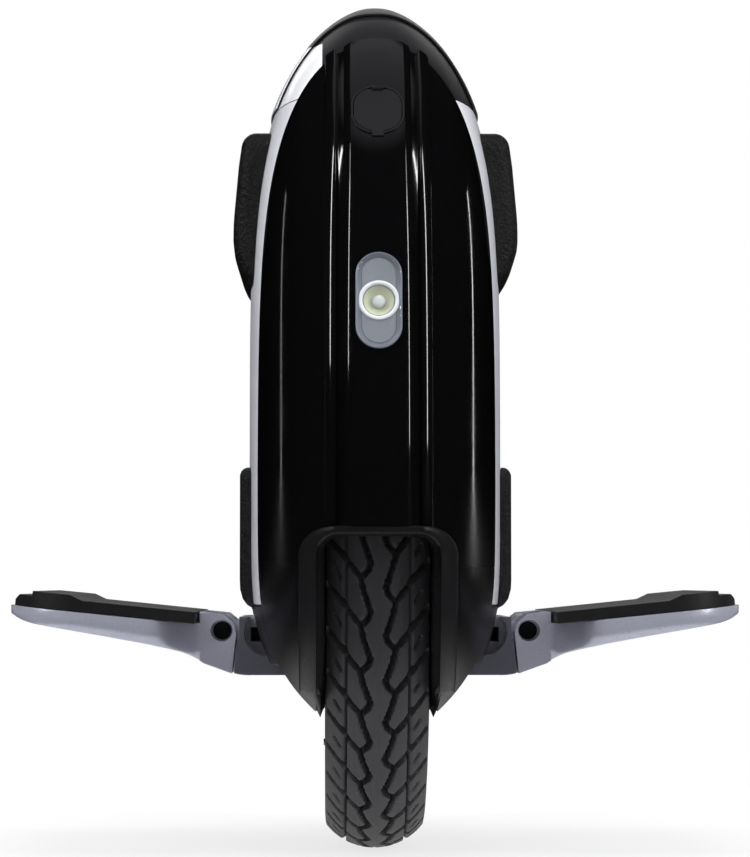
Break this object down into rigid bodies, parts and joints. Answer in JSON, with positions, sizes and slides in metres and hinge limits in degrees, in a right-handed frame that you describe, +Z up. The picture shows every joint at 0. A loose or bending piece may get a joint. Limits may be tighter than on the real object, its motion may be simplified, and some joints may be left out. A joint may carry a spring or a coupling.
{
  "type": "electric unicycle",
  "caption": "Self-balancing electric unicycle: hub-motor wheel in a tall moulded shell with carry handle, leg pads, headlight, charge port and fold-up pedals",
  "frame": {"origin": "on the ground, under the middle of the axle", "axes": "+Z up, the front with the headlight towards -Y, the rider's axle along X, the right side of the picture towards +X"},
  "size_m": [0.4008, 0.4048, 0.4733],
  "materials": {
    "gloss_shell": "piano black moulded shell",
    "white_shell": "white moulded shell",
    "matte_shell": "fine textured black moulding",
    "foam": "pebbled black foam",
    "tyre": "treaded rubber",
    "rubber": "moulded rubber",
    "cast_alloy": "die-cast, satin",
    "steel": "machined",
    "copper": "enamelled copper",
    "valve_brass": "turned",
    "silver_trim": "silver moulding",
    "clear_lens": "clear moulding",
    "red_lens": "red moulding",
    "black_plastic": "black moulding",
    "battery_wrap": "shrink wrap"
  },
  "bodies": {
    "chassis": {"arch_trim_front": "matte_shell", "arch_trim_rear": "matte_shell", "axle_nuts": "steel", "axle_washers": "steel", "battery_left": "battery_wrap", "battery_right": "battery_wrap", "button_bezel": "black_plastic", "capacitors": "black_plastic", "carry_handle": "matte_shell", "charge_socket": "black_plastic", "controller_board": "black_plastic", "front_cover": "gloss_shell", "front_panel": "gloss_shell", "handle_band": "matte_shell", "hanger_bolts": "steel", "hanger_left": "cast_alloy", "hanger_right": "cast_alloy", "headlight_bezel": "silver_trim", "headlight_led": "clear_lens", "headlight_lens": "clear_lens", "headlight_reflector": "silver_trim", "heatsink": "cast_alloy", "lower_guard_left": "matte_shell", "lower_guard_right": "matte_shell", "lower_pad_left": "foam", "lower_pad_right": "foam", "motor_axle": "steel", "motor_cable": "black_plastic", "pedal_pin_left": "steel", "pedal_pin_right": "steel", "rear_cover": "gloss_shell", "rear_panel": "gloss_shell", "shell_standoffs": "steel", "side_shell_left": "white_shell", "side_shell_right": "white_shell", "stator_coils": "copper", "stator_core": "steel", "stator_hub": "cast_alloy", "tail_light_housing": "black_plastic", "tail_light_lens": "red_lens", "upper_pad_left": "foam", "upper_pad_right": "foam", "wheel_liner": "matte_shell"},
    "wheel": {"tyre": "tyre", "inner_tube": "rubber", "wheel_rim": "cast_alloy", "rotor_ring": "steel", "rotor_magnets": "steel", "motor_cover_left": "cast_alloy", "motor_cover_right": "cast_alloy", "motor_cover_screws": "steel", "wheel_bearings": "steel", "valve_stem": "valve_brass"},
    "pedal_left_body": {"pedal_left": "cast_alloy", "pedal_grip_left": "rubber"},
    "pedal_right_body": {"pedal_right": "cast_alloy", "pedal_grip_right": "rubber"},
    "charge_flap": {"charge_cap": "rubber"},
    "power_key": {"power_button": "black_plastic"}
  },
  "joints": [
    {"name": "wheel_spin", "type": "hinge", "parent": "chassis", "child": "wheel", "pos_m": [0, 0, 0.178], "axis": [1, 0, 0], "continuous": true},
    {"name": "pedal_left_fold", "type": "hinge", "parent": "chassis", "child": "pedal_left_body", "pos_m": [-0.08475, 0, 0.1235], "axis": [0, 1, 0], "range_deg": [0, 79]},
    {"name": "pedal_right_fold", "type": "hinge", "parent": "chassis", "child": "pedal_right_body", "pos_m": [0.08475, 0, 0.1235], "axis": [0, -1, 0], "range_deg": [0, 79]},
    {"name": "charge_cap_hinge", "type": "hinge", "parent": "chassis", "child": "charge_flap", "pos_m": [0, -0.14176, 0.41219], "axis": [-1, 0, 0], "range_deg": [0, 110]},
    {"name": "power_button_press", "type": "slide", "parent": "chassis", "child": "power_key", "axis": [0, -0.8143, -0.5804], "range_m": [0, 0.0018], "stiffness_N_per_m": 800}
  ]
}
